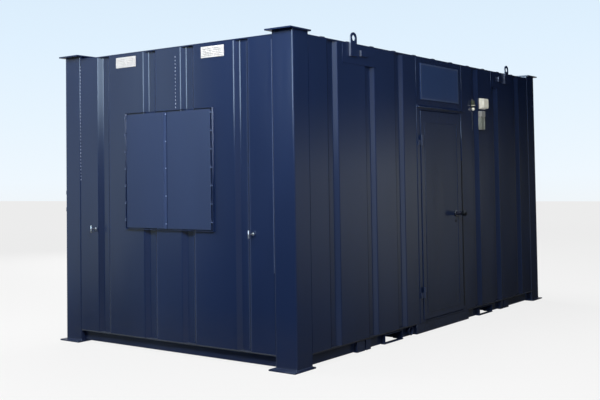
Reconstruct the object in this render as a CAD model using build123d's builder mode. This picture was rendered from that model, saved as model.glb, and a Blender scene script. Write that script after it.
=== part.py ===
"""Portable steel site cabin with one outward door, a shuttered window, lifting eyes and fork pockets.

Millimetres. The origin is at the centre of the plan, on the ground: +X runs along the length, the door
faces -Y, the shuttered window faces -X and +Z is up.
"""

import os
from math import cos, radians, sin

from build123d import *

os.makedirs("parts", exist_ok=True)

# Overall box, over the corner posts and the cap plates
cabin_length = 4877
cabin_width = 2691
cabin_height = 2664

# Corner posts and the plates welded to their ends
post_side = 210
post_wall = 5
post_corner = 6
plate_thick = 13
cap_over_end = 58
cap_over_side = 22
cap_inner_end = 219
cap_inner_side = 236

# Base: channel rails set back under the cladding, bearers, deck
rail_setback = 40
rail_bottom = 15
rail_depth = 92
rail_flange = 60
rail_steel = 6
bearer_pitch = 420
bearer_width = 50
bearer_depth = 75
deck_thick = 20

# Fork pockets: open underneath, right through the width, with a strap under each mouth
pocket_offset = 970
pocket_width = 300
pocket_height = 70
pocket_steel = 6
strap_length = 330

# Bearer ends: blocks that come out over the side rails, a wide one and a narrow one side by side
bearer_end_wide = 120
bearer_end_narrow = 76
bearer_end_wide_offset = 1514
bearer_end_narrow_offset = 1395
bearer_end_setback = 5
bearer_end_drop = 3

# Walls: flat sheet with vertical recessed grooves, insulated and lined
cladding_setback = 3
wall_thick = 80
groove_width = 155
groove_floor = 68
groove_depth = 30
front_groove_inner = 799
front_groove_middle = 1304
front_groove_outer = 1889
rear_groove_count = 8
rear_groove_pitch = 545
end_groove_inner = 225
end_groove_outer = 818

# Roof: edge plate level with the eaves, low ribs across it, lined underneath
eaves_drop = 34
roof_plate = 12
rib_pitch = 386.6
rib_count = 11
rib_top = 50
rib_foot = 120
rib_height = 22
rib_inset = 60
ceiling_thick = 80

# Door frame and leaf
door_leaf_width = 838
door_leaf_height = 1981
door_leaf_thick = 45
door_proud = 12
door_side_gap = 5
door_end_gap = 5
door_jamb = 60
door_head = 50
door_stop = 15
door_stop_gap = 5
frame_proud = 5
overlay_thick = 3
overlay_margin_hinge = 70
overlay_margin_lock = 92
overlay_margin_top = 108
overlay_margin_bottom = 60
apron_width = 1100
apron_steel = 5

# Door hinges: lift-off knuckles in front of the hinge gap
hinge_radius = 9
hinge_pin = 5
pin_clearance = 0.1
hinge_stand_off = 10
knuckle_height = 50
knuckle_gap = 0.5
lower_hinge_rise = 258
upper_hinge_drop = 283
hinge_flag_width = 45
leaf_flag_thick = 4

# Door furniture
knob_from_edge = 149
knob_rise = 978
rose_radius = 31.5
rose_thick = 12
neck_radius = 20
knob_radius = 29.5
knob_stand_off = 81
knob_chord = 30

# Canopy and sign over the door
canopy_height = 28
canopy_reach = 30
canopy_lip = 5
sign_width = 800
sign_thick = 8
sign_rise = 52
sign_drop = 60

# Lifting eyes on spacers, their doublers and the keeper blocks beside them, all set out from the eaves
eye_offset = 1595
eye_width = 97
eye_thick = 10
eye_spacer = 12
eye_hole = 25
eye_rise = 39
eye_drop = 118
doubler_width = 532
doubler_height = 168
doubler_thick = 4
doubler_offset = 1474
keeper_offset = 1430
keeper_width = 100
keeper_height = 52
keeper_drop = 54

# Window, its shutter frame and leaves
window_size = 900
window_level = 1122
window_bar = 45
window_depth = 60
window_recess = 12
glass_thick = 6
shutter_frame_width = 1037
shutter_frame_height = 1030
shutter_frame_edge = 5
shutter_frame_proud = 20
shutter_side_gap = 15.5
shutter_end_gap = 10
shutter_meeting_gap = 6
shutter_leaf_thick = 13
shutter_barrel = 6
shutter_barrel_sides = 12
shutter_pin = 2.5
shutter_stand_off = 4
shutter_tab_lap = 14
shutter_tab_thick = 4
shutter_knuckle = 12
shutter_hinge_count = 7
shutter_hinge_foot = 68
shutter_hinge_head = 23
strip_width = 45
strip_rise = 8
catch_offset = 928
catch_level = 1048
catch_reach = 60
catch_bar = 70
catch_rod = 6
catch_plate = 50
catch_plate_thick = 4

# Louvred vents high in the shutter end wall
vent_offset = 516
vent_width = 250
vent_height = 95
vent_drop = 35
vent_thick = 12
vent_border = 12
slot_count = 5
slot_height = 6
slot_depth = 8

# Lamp, sensor and socket box: left edges from the door frame's right edge, feet from its top edge
lamp_left = 418
lamp_rise = 27
lamp_width = 137
lamp_height = 115
lamp_depth = 56
socket_left = 391
socket_rise = -196
socket_width = 96
socket_height = 198
socket_depth = 40
sensor_left = 213
sensor_rise = -5
sensor_width = 48
sensor_height = 110
sensor_depth = 35
fitting_taper = 4

# Lug pair on the rear face of the rear left post
lug_width = 40
lug_height = 38
lug_reach = 23
lug_from_corner = 40
lug_low = 1220
lug_high = 1380

# Levels and faces that several pieces share
half_length = cabin_length / 2
half_width = cabin_width / 2
rail_top = rail_bottom + rail_depth
floor_level = rail_top + deck_thick
wall_bottom = rail_top
eaves_level = cabin_height - eaves_drop
wall_top = eaves_level - roof_plate
clad_x = half_length - cladding_setback
clad_y = half_width - cladding_setback
wall_end_x = half_length - post_side
wall_end_y = half_width - post_side
room_x = clad_x - wall_thick
room_y = clad_y - wall_thick
corners = [(side_x, side_y) for side_x in (-1, 1) for side_y in (-1, 1)]

# Plan planes: local X along the wall, local Y from the cladding face into the room
front_plan = Plane(origin=(0, -clad_y, 0), x_dir=(1, 0, 0), z_dir=(0, 0, 1))
rear_plan = Plane(origin=(0, clad_y, 0), x_dir=(-1, 0, 0), z_dir=(0, 0, 1))
window_plan = Plane(origin=(-clad_x, 0, 0), x_dir=(0, -1, 0), z_dir=(0, 0, 1))
blind_plan = Plane(origin=(clad_x, 0, 0), x_dir=(0, 1, 0), z_dir=(0, 0, 1))

# Elevation planes on the cladding face: local X to the right, local Y up, normal outwards
front_view = Plane(origin=(0, -clad_y, 0), x_dir=(1, 0, 0), z_dir=(0, -1, 0))
rear_view = Plane(origin=(0, clad_y, 0), x_dir=(-1, 0, 0), z_dir=(0, 1, 0))
window_view = Plane(origin=(-clad_x, 0, 0), x_dir=(0, -1, 0), z_dir=(-1, 0, 0))


def save(part, name):
    """Labels a finished piece and writes its STEP file."""
    part.label = name
    export_step(part, f"parts/{name}.step")


def wall_panel(plan, left, right, bottom, top, grooves):
    """A stretch of insulated wall with its grooves, from one end to the other and bottom to top."""
    slope = (groove_width - groove_floor) / 2
    with BuildPart() as panel:
        with BuildSketch(plan.offset(bottom)):
            with Locations(((left + right) / 2, wall_thick / 2)):
                Rectangle(right - left, wall_thick)
            for centre in grooves:
                if left < centre < right:
                    edge = centre - groove_width / 2
                    with BuildLine():
                        Polyline(
                            (edge, 0),
                            (edge + slope, groove_depth),
                            (edge + slope + groove_floor, groove_depth),
                            (edge + groove_width, 0),
                            close=True,
                        )
                    make_face(mode=Mode.SUBTRACT)
        extrude(amount=top - bottom)
    return panel.part


# Corner posts: square folded tubes between the foot plates and the caps
post_spots = [(sx * (half_length - post_side / 2), sy * (half_width - post_side / 2)) for sx, sy in corners]
with BuildPart() as corner_posts:
    with BuildSketch(Plane.XY.offset(plate_thick)):
        with Locations(*post_spots):
            RectangleRounded(post_side, post_side, post_corner)
            Rectangle(post_side - 2 * post_wall, post_side - 2 * post_wall, mode=Mode.SUBTRACT)
    extrude(amount=cabin_height - 2 * plate_thick)
save(corner_posts.part, "corner_posts")

# Foot and cap plates: one under and one over each post, reaching past both outer faces
plate_x = cap_over_end + cap_inner_end
plate_y = cap_over_side + cap_inner_side
plate_spots = [
    (side_x * (half_length + cap_over_end - plate_x / 2), side_y * (half_width + cap_over_side - plate_y / 2))
    for side_x, side_y in corners
]
with BuildPart() as foot_plates:
    with BuildSketch(Plane.XY):
        with Locations(*plate_spots):
            Rectangle(plate_x, plate_y)
    extrude(amount=plate_thick)
save(foot_plates.part, "foot_plates")

with BuildPart() as cap_plates:
    with BuildSketch(Plane.XY.offset(cabin_height - plate_thick)):
        with Locations(*plate_spots):
            Rectangle(plate_x, plate_y)
    extrude(amount=plate_thick)
save(cap_plates.part, "cap_plates")

# Side rails: channels with their backs outwards, cut for the fork pockets, with the bearer ends on them
pocket_bottom = rail_bottom + rail_steel
pocket_outer_width = pocket_width + 2 * pocket_steel
pocket_outer_height = pocket_height + pocket_steel
pocket_level = pocket_bottom + pocket_outer_height / 2
bearer_end_level = (rail_setback + rail_steel + bearer_end_setback) / 2
with BuildPart() as side_rails:
    for view, plan in ((front_view, front_plan), (rear_view, rear_plan)):
        with BuildSketch(plan.offset(rail_bottom)):
            with Locations((0, rail_setback + rail_flange / 2)):
                Rectangle(2 * wall_end_x, rail_flange)
        extrude(amount=rail_depth)
        with BuildSketch(plan.offset(rail_bottom + rail_steel)):
            with Locations((0, rail_setback + rail_steel + rail_flange / 2)):
                Rectangle(2 * wall_end_x, rail_flange)
        extrude(amount=rail_depth - 2 * rail_steel, mode=Mode.SUBTRACT)
        with BuildSketch(view.offset(-rail_setback)):
            with Locations((-pocket_offset, pocket_level), (pocket_offset, pocket_level)):
                Rectangle(pocket_outer_width, pocket_outer_height)
        extrude(amount=-rail_steel, mode=Mode.SUBTRACT)
        with BuildSketch(plan.offset(rail_bottom)):
            with Locations(
                (-pocket_offset, rail_setback + rail_flange / 2),
                (pocket_offset, rail_setback + rail_flange / 2),
            ):
                Rectangle(pocket_width, rail_flange)
        extrude(amount=rail_steel, mode=Mode.SUBTRACT)
        with BuildSketch(plan.offset(rail_bottom - bearer_end_drop)):
            for offset, width in (
                (bearer_end_wide_offset, bearer_end_wide),
                (bearer_end_narrow_offset, bearer_end_narrow),
            ):
                with Locations((-offset, bearer_end_level), (offset, bearer_end_level)):
                    Rectangle(width, rail_setback + rail_steel - bearer_end_setback)
        extrude(amount=rail_depth + bearer_end_drop)
save(side_rails.part, "side_rails")

# End rails: the same channel across the ends
with BuildPart() as end_rails:
    for plan in (window_plan, blind_plan):
        with BuildSketch(plan.offset(rail_bottom)):
            with Locations((0, rail_setback + rail_flange / 2)):
                Rectangle(2 * wall_end_y, rail_flange)
        extrude(amount=rail_depth)
        with BuildSketch(plan.offset(rail_bottom + rail_steel)):
            with Locations((0, rail_setback + rail_steel + rail_flange / 2)):
                Rectangle(2 * wall_end_y, rail_flange)
        extrude(amount=rail_depth - 2 * rail_steel, mode=Mode.SUBTRACT)
save(end_rails.part, "end_rails")

# Cross bearers between the flange tips of the side rails, clear of the fork pockets and the end rails
bearer_length = 2 * (clad_y - rail_setback - rail_flange)
bearer_reach = int((clad_x - rail_setback - rail_flange - bearer_width) // bearer_pitch)
bearer_spots = [
    (step * bearer_pitch, 0)
    for step in range(-bearer_reach, bearer_reach + 1)
    if abs(abs(step * bearer_pitch) - pocket_offset) > pocket_outer_width / 2 + bearer_width
]
with BuildPart() as cross_bearers:
    with BuildSketch(Plane.XY.offset(rail_top - bearer_depth)):
        with Locations(*bearer_spots):
            Rectangle(bearer_width, bearer_length)
    extrude(amount=bearer_depth)
save(cross_bearers.part, "cross_bearers")

# Fork pockets: channels, open side down, from one cladding face to the other
with BuildPart() as fork_pockets:
    with BuildSketch(front_view):
        with Locations((-pocket_offset, pocket_level), (pocket_offset, pocket_level)):
            Rectangle(pocket_outer_width, pocket_outer_height)
        with Locations(
            (-pocket_offset, pocket_level - pocket_steel),
            (pocket_offset, pocket_level - pocket_steel),
        ):
            Rectangle(pocket_width, pocket_outer_height, mode=Mode.SUBTRACT)
    extrude(amount=-2 * clad_y)
save(fork_pockets.part, "fork_pockets")

# Straps: flat bars under the pocket mouths, welded to the pocket sides and against the rail
with BuildPart() as pocket_straps:
    for plan in (front_plan, rear_plan):
        with BuildSketch(plan.offset(plate_thick)):
            with Locations((-pocket_offset, rail_setback / 2), (pocket_offset, rail_setback / 2)):
                Rectangle(strap_length, rail_setback)
        extrude(amount=pocket_bottom - plate_thick)
save(pocket_straps.part, "pocket_straps")

# Floor deck on the rails and bearers, notched round the posts
with BuildPart() as floor_deck:
    with BuildSketch(Plane.XY.offset(rail_top)):
        Rectangle(2 * room_x, 2 * room_y)
        with Locations(*[(sx * half_length, sy * half_width) for sx, sy in corners]):
            Rectangle(2 * post_side, 2 * post_side, mode=Mode.SUBTRACT)
    extrude(amount=deck_thick)
save(floor_deck.part, "floor_deck")

# Door opening in the front wall, from which the wall pieces, frame and leaf take their places
leaf_bottom = floor_level + door_end_gap
leaf_top = leaf_bottom + door_leaf_height
opening_width = door_leaf_width + 2 * door_side_gap
opening_top = leaf_top + door_end_gap
frame_half = opening_width / 2 + door_jamb
frame_top = opening_top + door_head

front_groove_offsets = (front_groove_inner, front_groove_middle, front_groove_outer)
front_grooves = [side * offset for side in (-1, 1) for offset in front_groove_offsets]
save(
    wall_panel(front_plan, -wall_end_x, -frame_half, wall_bottom, wall_top, front_grooves),
    "front_wall_left",
)
save(
    wall_panel(front_plan, frame_half, wall_end_x, wall_bottom, wall_top, front_grooves),
    "front_wall_right",
)
save(wall_panel(front_plan, -frame_half, frame_half, frame_top, wall_top, ()), "front_wall_head")

# Rear wall and blind end wall, with no opening
rear_grooves = [(step - (rear_groove_count - 1) / 2) * rear_groove_pitch for step in range(rear_groove_count)]
end_grooves = (-end_groove_outer, -end_groove_inner, end_groove_inner, end_groove_outer)
save(wall_panel(rear_plan, -wall_end_x, wall_end_x, wall_bottom, wall_top, rear_grooves), "rear_wall")
save(wall_panel(blind_plan, -wall_end_y, wall_end_y, wall_bottom, wall_top, end_grooves), "blind_end_wall")

# Shutter end wall: beside, under and over the window
window_half = window_size / 2
window_top = window_level + window_size
save(
    wall_panel(window_plan, -wall_end_y, -window_half, wall_bottom, wall_top, end_grooves),
    "window_wall_left",
)
save(
    wall_panel(window_plan, window_half, wall_end_y, wall_bottom, wall_top, end_grooves),
    "window_wall_right",
)
save(
    wall_panel(window_plan, -window_half, window_half, wall_bottom, window_level, end_grooves),
    "window_wall_under",
)
save(
    wall_panel(window_plan, -window_half, window_half, window_top, wall_top, end_grooves),
    "window_wall_over",
)

# Roof plate notched round the posts, with low tapered ribs across it
with BuildPart() as roof:
    with BuildSketch(Plane.XY.offset(wall_top)):
        Rectangle(2 * clad_x, 2 * clad_y)
        with Locations(*[(sx * half_length, sy * half_width) for sx, sy in corners]):
            Rectangle(2 * post_side, 2 * post_side, mode=Mode.SUBTRACT)
    extrude(amount=roof_plate)
    with BuildSketch(Plane.XZ.offset(rib_inset - clad_y)):
        for step in range(rib_count):
            rib_x = (step - (rib_count - 1) / 2) * rib_pitch
            with BuildLine():
                Polyline(
                    (rib_x - rib_foot / 2, eaves_level),
                    (rib_x - rib_top / 2, eaves_level + rib_height),
                    (rib_x + rib_top / 2, eaves_level + rib_height),
                    (rib_x + rib_foot / 2, eaves_level),
                    close=True,
                )
            make_face()
    extrude(amount=2 * (clad_y - rib_inset))
save(roof.part, "roof")

# Ceiling: insulation and board under the roof plate, between the walls and posts
with BuildPart() as ceiling:
    with BuildSketch(Plane.XY.offset(wall_top - ceiling_thick)):
        Rectangle(2 * room_x, 2 * room_y)
        with Locations(*[(sx * half_length, sy * half_width) for sx, sy in corners]):
            Rectangle(2 * post_side, 2 * post_side, mode=Mode.SUBTRACT)
    extrude(amount=ceiling_thick)
save(ceiling.part, "ceiling")

# Door frame: jambs, head and threshold in one weldment, with a stop behind the leaf
stop_depth = door_leaf_thick - door_proud + door_stop_gap
frame_bottom = wall_bottom
opening_level = (floor_level + opening_top) / 2
with BuildPart() as door_frame:
    with BuildSketch(front_view.offset(frame_proud)):
        with Locations((0, (frame_bottom + frame_top) / 2)):
            Rectangle(2 * frame_half, frame_top - frame_bottom)
    extrude(amount=-(frame_proud + wall_thick))
    with BuildSketch(front_view.offset(frame_proud)):
        with Locations((0, opening_level)):
            Rectangle(opening_width, opening_top - floor_level)
    extrude(amount=-(frame_proud + stop_depth), mode=Mode.SUBTRACT)
    with BuildSketch(front_view.offset(-stop_depth)):
        with Locations((0, opening_level - door_stop / 2)):
            Rectangle(opening_width - 2 * door_stop, opening_top - floor_level - door_stop)
    extrude(amount=-(wall_thick - stop_depth), mode=Mode.SUBTRACT)
save(door_frame.part, "door_frame")

# Apron: folded plate that carries the flat door panel down over the side rail
with BuildPart() as door_apron:
    with BuildSketch(front_plan.offset(rail_bottom)):
        with Locations((0, rail_setback / 2)):
            Rectangle(apron_width, rail_setback)
    extrude(amount=rail_depth)
    with BuildSketch(front_plan.offset(rail_bottom)):
        with Locations((0, rail_setback / 2 + apron_steel)):
            Rectangle(apron_width - 2 * apron_steel, rail_setback)
    extrude(amount=rail_depth - apron_steel, mode=Mode.SUBTRACT)
save(door_apron.part, "door_apron")

# Canopy: rain hood over the door, a sloped plate with a drip lip
with BuildPart() as canopy:
    with BuildSketch(Plane.YZ.offset(-frame_half)):
        with BuildLine():
            Polyline(
                (-clad_y - frame_proud, frame_top),
                (-clad_y - frame_proud, frame_top - canopy_height),
                (-clad_y - frame_proud - canopy_reach, frame_top - canopy_height),
                (-clad_y - frame_proud - canopy_reach, frame_top - canopy_height + canopy_lip),
                close=True,
            )
        make_face()
    extrude(amount=2 * frame_half)
save(canopy.part, "canopy")

# Sign panel, bare, between the door frame's top and the eaves
sign_foot = frame_top + sign_rise
sign_head = eaves_level - sign_drop
with BuildPart() as sign_panel:
    with BuildSketch(front_view):
        with Locations((0, (sign_foot + sign_head) / 2)):
            Rectangle(sign_width, sign_head - sign_foot)
    extrude(amount=sign_thick)
save(sign_panel.part, "sign_panel")

# Door leaf: flat steel-faced leaf, standing a little proud of its frame
leaf_level = (leaf_bottom + leaf_top) / 2
leaf_edge = door_leaf_width / 2
with BuildPart() as door_leaf:
    with BuildSketch(front_view.offset(door_proud)):
        with Locations((0, leaf_level)):
            Rectangle(door_leaf_width, door_leaf_height)
    extrude(amount=-door_leaf_thick)
save(door_leaf.part, "door_leaf")

# Overlay sheet on the leaf, inside its margins
overlay_left = -leaf_edge + overlay_margin_hinge
overlay_right = leaf_edge - overlay_margin_lock
overlay_bottom = leaf_bottom + overlay_margin_bottom
overlay_top = leaf_top - overlay_margin_top
with BuildPart() as door_overlay:
    with BuildSketch(front_view.offset(door_proud)):
        with Locations(((overlay_left + overlay_right) / 2, (overlay_bottom + overlay_top) / 2)):
            Rectangle(overlay_right - overlay_left, overlay_top - overlay_bottom)
    extrude(amount=overlay_thick)
save(door_overlay.part, "door_overlay")

# Hinge axis: in front of the leaf's face, over the hinge gap
hinge_x = -leaf_edge - door_side_gap / 2
hinge_out = door_proud + hinge_stand_off
frame_flag_thick = hinge_out - hinge_radius + leaf_flag_thick / 2 - frame_proud
hinge_levels = (leaf_bottom + lower_hinge_rise, leaf_top - upper_hinge_drop)

# Frame half of each hinge: lower knuckle with its pin, and a flag on the jamb
with BuildPart() as hinge_pins:
    for level in hinge_levels:
        with BuildSketch(front_plan.offset(level)):
            with Locations((hinge_x, -hinge_out)):
                Circle(hinge_radius)
        extrude(amount=-knuckle_height)
        with BuildSketch(front_view.offset(frame_proud)):
            with Locations((hinge_x - hinge_flag_width / 2, level - knuckle_height / 2)):
                Rectangle(hinge_flag_width, knuckle_height)
        extrude(amount=frame_flag_thick)
        with BuildSketch(front_plan.offset(level)):
            with Locations((hinge_x, -hinge_out)):
                Circle(hinge_pin)
        extrude(amount=knuckle_height)
save(hinge_pins.part, "hinge_pins")

# Leaf half of each hinge: upper knuckle bored for the pin, and a flag on the leaf
with BuildPart() as hinge_knuckles:
    for level in hinge_levels:
        knuckle_bottom = level + knuckle_gap
        with BuildSketch(front_plan.offset(knuckle_bottom)):
            with Locations((hinge_x, -hinge_out)):
                Circle(hinge_radius)
        extrude(amount=knuckle_height)
        with BuildSketch(front_view.offset(door_proud)):
            with Locations((hinge_x + hinge_flag_width / 2, knuckle_bottom + knuckle_height / 2)):
                Rectangle(hinge_flag_width, knuckle_height)
        extrude(amount=leaf_flag_thick)
        with BuildSketch(front_plan.offset(knuckle_bottom)):
            with Locations((hinge_x, -hinge_out)):
                Circle(hinge_pin + pin_clearance)
        extrude(amount=knuckle_height, mode=Mode.SUBTRACT)
save(hinge_knuckles.part, "hinge_knuckles")

# Lock rose on the leaf and the round knob that turns in it
knob_x = leaf_edge - knob_from_edge
knob_level = leaf_bottom + knob_rise
rose_face = front_view.offset(door_proud + overlay_thick)
with BuildPart() as lock_rose:
    with BuildSketch(rose_face):
        with Locations((knob_x, knob_level)):
            Circle(rose_radius)
    extrude(amount=rose_thick)
    chamfer(lock_rose.faces().sort_by(Axis.Y)[0].edges(), rose_thick / 3)
save(lock_rose.part, "lock_rose")

# Knob: a turned profile, a thick neck and a round head cut in equal chords
knob_angles = [knob_chord * (step + 0.5) for step in range(int(135 // knob_chord) + 1)]
knob_rim = [
    (knob_stand_off + knob_radius * cos(radians(angle)), knob_radius * sin(radians(angle)))
    for angle in knob_angles
]
knob_foot = (knob_x, -clad_y - door_proud - overlay_thick - rose_thick, knob_level)
knob_plane = Plane(origin=knob_foot, x_dir=(0, -1, 0), z_dir=(1, 0, 0))
with BuildPart() as knob:
    with BuildSketch(knob_plane):
        with BuildLine():
            Polyline(
                (knuckle_gap, 0),
                (knob_rim[0][0], 0),
                *knob_rim,
                (knob_rim[-1][0], neck_radius),
                (knuckle_gap, neck_radius),
                close=True,
            )
        make_face()
    revolve(axis=Axis(knob_foot, (0, -1, 0)))
save(knob.part, "knob")

# Doublers: plates welded under the eaves that spread the lifting load
doubler_level = wall_top - doubler_height / 2
with BuildPart() as doublers:
    for view in (front_view, rear_view):
        with BuildSketch(view):
            with Locations((-doubler_offset, doubler_level), (doubler_offset, doubler_level)):
                Rectangle(doubler_width, doubler_height)
        extrude(amount=doubler_thick)
save(doublers.part, "doublers")

# Lifting eyes: bored plates that stand over the eaves, each on a spacer that ends at the eaves
eye_stem = eye_drop + eye_rise
eye_centre = eaves_level + eye_rise
stem_level = eye_centre - eye_stem / 2
spacer_level = eaves_level - eye_drop / 2
with BuildPart() as lifting_eyes:
    for view in (front_view, rear_view):
        with BuildSketch(view.offset(doubler_thick)):
            with Locations((-eye_offset, spacer_level), (eye_offset, spacer_level)):
                Rectangle(eye_width, eye_drop)
        extrude(amount=eye_spacer)
        with BuildSketch(view.offset(doubler_thick + eye_spacer)):
            with Locations((-eye_offset, stem_level), (eye_offset, stem_level)):
                Rectangle(eye_width, eye_stem)
            with Locations((-eye_offset, eye_centre), (eye_offset, eye_centre)):
                Circle(eye_width / 2)
                Circle(eye_hole, mode=Mode.SUBTRACT)
        extrude(amount=eye_thick)
save(lifting_eyes.part, "lifting_eyes")

# Keeper blocks beside the eyes, flush with their faces
keeper_level = eaves_level - keeper_drop - keeper_height / 2
with BuildPart() as keeper_blocks:
    for view in (front_view, rear_view):
        with BuildSketch(view.offset(doubler_thick)):
            with Locations((-keeper_offset, keeper_level), (keeper_offset, keeper_level)):
                Rectangle(keeper_width, keeper_height)
        extrude(amount=eye_spacer + eye_thick)
save(keeper_blocks.part, "keeper_blocks")

# Window frame with a centre bar, and its two panes
window_centre = window_level + window_half
pane_width = (window_size - 3 * window_bar) / 2
pane_height = window_size - 2 * window_bar
pane_offset = (pane_width + window_bar) / 2
with BuildPart() as window_frame:
    with BuildSketch(window_view.offset(-window_recess)):
        with Locations((0, window_centre)):
            Rectangle(window_size, window_size)
        with Locations((-pane_offset, window_centre), (pane_offset, window_centre)):
            Rectangle(pane_width, pane_height, mode=Mode.SUBTRACT)
    extrude(amount=-window_depth)
save(window_frame.part, "window_frame")

with BuildPart() as window_glass:
    with BuildSketch(window_view.offset(-window_recess - (window_depth - glass_thick) / 2)):
        with Locations((-pane_offset, window_centre), (pane_offset, window_centre)):
            Rectangle(pane_width, pane_height)
    extrude(amount=-glass_thick)
save(window_glass.part, "window_glass")

# Shutter frame: a thin edge round the leaves, standing off the cladding
shutter_opening_width = shutter_frame_width - 2 * shutter_frame_edge
shutter_opening_height = shutter_frame_height - 2 * shutter_frame_edge
with BuildPart() as shutter_frame:
    with BuildSketch(window_view):
        with Locations((0, window_centre)):
            Rectangle(shutter_frame_width, shutter_frame_height)
            Rectangle(shutter_opening_width, shutter_opening_height, mode=Mode.SUBTRACT)
    extrude(amount=shutter_frame_proud)
save(shutter_frame.part, "shutter_frame")

# Shutter leaves: each hangs on a row of small knuckles in the gap beside the frame's edge, and the left
# leaf carries a bowed cover strip down the meeting edge
leaf_height = shutter_opening_height - 2 * shutter_end_gap
leaf_foot = window_centre - leaf_height / 2
leaf_hinge_edge = shutter_opening_width / 2 - shutter_side_gap
leaf_width = leaf_hinge_edge - shutter_meeting_gap / 2
leaf_middle = (leaf_hinge_edge + shutter_meeting_gap / 2) / 2
shutter_axis = leaf_hinge_edge + shutter_side_gap / 2
shutter_axis_out = shutter_frame_proud + shutter_stand_off
shutter_hinge_run = leaf_height - shutter_hinge_foot - shutter_hinge_head
shutter_hinge_levels = [
    leaf_foot + shutter_hinge_foot + step * shutter_hinge_run / (shutter_hinge_count - 1)
    for step in range(shutter_hinge_count)
]
leaf_tab = shutter_axis - leaf_hinge_edge + shutter_tab_lap
for name, side in (("left", -1), ("right", 1)):
    with BuildPart() as shutter_leaf:
        with BuildSketch(window_view.offset(shutter_frame_proud)):
            with Locations((side * leaf_middle, window_centre)):
                Rectangle(leaf_width, leaf_height)
        extrude(amount=-shutter_leaf_thick)
        for level in shutter_hinge_levels:
            knuckle_bottom = level + knuckle_gap
            with BuildSketch(window_plan.offset(knuckle_bottom)):
                with Locations((side * shutter_axis, -shutter_axis_out)):
                    RegularPolygon(shutter_barrel, shutter_barrel_sides)
            extrude(amount=shutter_knuckle)
            with BuildSketch(window_view.offset(shutter_frame_proud)):
                with Locations((side * (shutter_axis - leaf_tab / 2), knuckle_bottom + shutter_knuckle / 2)):
                    Rectangle(leaf_tab, shutter_knuckle)
            extrude(amount=shutter_tab_thick)
            with BuildSketch(window_plan.offset(knuckle_bottom)):
                with Locations((side * shutter_axis, -shutter_axis_out)):
                    RegularPolygon(shutter_pin + pin_clearance, shutter_barrel_sides, major_radius=False)
            extrude(amount=shutter_knuckle, mode=Mode.SUBTRACT)
        if side < 0:
            strip_near = -shutter_meeting_gap / 2
            strip_far = strip_near - strip_width
            with BuildSketch(window_plan.offset(leaf_foot)):
                with BuildLine():
                    ThreePointArc(
                        (strip_near, -shutter_frame_proud),
                        ((strip_near + strip_far) / 2, -shutter_frame_proud - strip_rise),
                        (strip_far, -shutter_frame_proud),
                    )
                    Line((strip_far, -shutter_frame_proud), (strip_near, -shutter_frame_proud))
                make_face()
            extrude(amount=leaf_height)
    save(shutter_leaf.part, f"shutter_leaf_{name}")

# Frame halves of the shutter hinges: under each leaf knuckle, a knuckle with its pin and a tab on the edge
frame_tab = shutter_frame_width / 2 - shutter_axis
with BuildPart() as shutter_hinges:
    for side in (-1, 1):
        for level in shutter_hinge_levels:
            with BuildSketch(window_plan.offset(level)):
                with Locations((side * shutter_axis, -shutter_axis_out)):
                    RegularPolygon(shutter_barrel, shutter_barrel_sides)
            extrude(amount=-shutter_knuckle)
            with BuildSketch(window_view.offset(shutter_frame_proud)):
                with Locations((side * (shutter_axis + frame_tab / 2), level - shutter_knuckle / 2)):
                    Rectangle(frame_tab, shutter_knuckle)
            extrude(amount=shutter_tab_thick)
            with BuildSketch(window_plan.offset(level)):
                with Locations((side * shutter_axis, -shutter_axis_out)):
                    RegularPolygon(shutter_pin, shutter_barrel_sides)
            extrude(amount=shutter_knuckle)
save(shutter_hinges.part, "shutter_hinges")

# Hold-back catches: a plate on the wall, a stem and an upright bar that holds the open leaf
with BuildPart() as shutter_catches:
    for side in (-1, 1):
        with BuildSketch(window_view):
            with Locations((side * catch_offset, catch_level)):
                Rectangle(catch_plate, catch_plate)
        extrude(amount=catch_plate_thick)
        with BuildSketch(window_view.offset(catch_plate_thick)):
            with Locations((side * catch_offset, catch_level)):
                Circle(catch_rod)
        extrude(amount=catch_reach - catch_plate_thick)
        with BuildSketch(window_plan.offset(catch_level - catch_bar / 2)):
            with Locations((side * catch_offset, -catch_reach)):
                Circle(catch_rod)
        extrude(amount=catch_bar)
save(shutter_catches.part, "shutter_catches")

# Louvred vents: a plate with two columns of slots
vent_level = eaves_level - vent_drop - vent_height / 2
column_width = (vent_width - 3 * vent_border) / 2
slot_pitch = (vent_height - vent_border) / slot_count
with BuildPart() as wall_vents:
    for side in (-1, 1):
        with BuildSketch(window_view):
            with Locations((side * vent_offset, vent_level)):
                Rectangle(vent_width, vent_height)
        extrude(amount=vent_thick)
        with BuildSketch(window_view.offset(vent_thick)):
            with Locations((side * vent_offset, vent_level)):
                with GridLocations(column_width + vent_border, slot_pitch, 2, slot_count):
                    Rectangle(column_width, slot_height)
        extrude(amount=-slot_depth, mode=Mode.SUBTRACT)
save(wall_vents.part, "wall_vents")

# Lamp, socket box and sensor to the right of the door
for name, left, rise, width, height, depth in (
    ("lamp", lamp_left, lamp_rise, lamp_width, lamp_height, lamp_depth),
    ("socket_box", socket_left, socket_rise, socket_width, socket_height, socket_depth),
    ("sensor", sensor_left, sensor_rise, sensor_width, sensor_height, sensor_depth),
):
    with BuildPart() as fitting:
        with BuildSketch(front_view) as outline:
            with Locations((frame_half + left + width / 2, frame_top + rise + height / 2)):
                Rectangle(width, height)
            chamfer(outline.vertices(), width / 8)
        extrude(amount=depth, taper=fitting_taper)
    save(fitting.part, name)

# Lugs: two short blocks on the rear face of the rear left post
with BuildPart() as post_lugs:
    with BuildSketch(Plane(origin=(0, half_width, 0), x_dir=(-1, 0, 0), z_dir=(0, 1, 0))):
        with Locations((half_length - lug_from_corner, lug_low), (half_length - lug_from_corner, lug_high)):
            Rectangle(lug_width, lug_height)
    extrude(amount=lug_reach)
save(post_lugs.part, "post_lugs")
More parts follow.
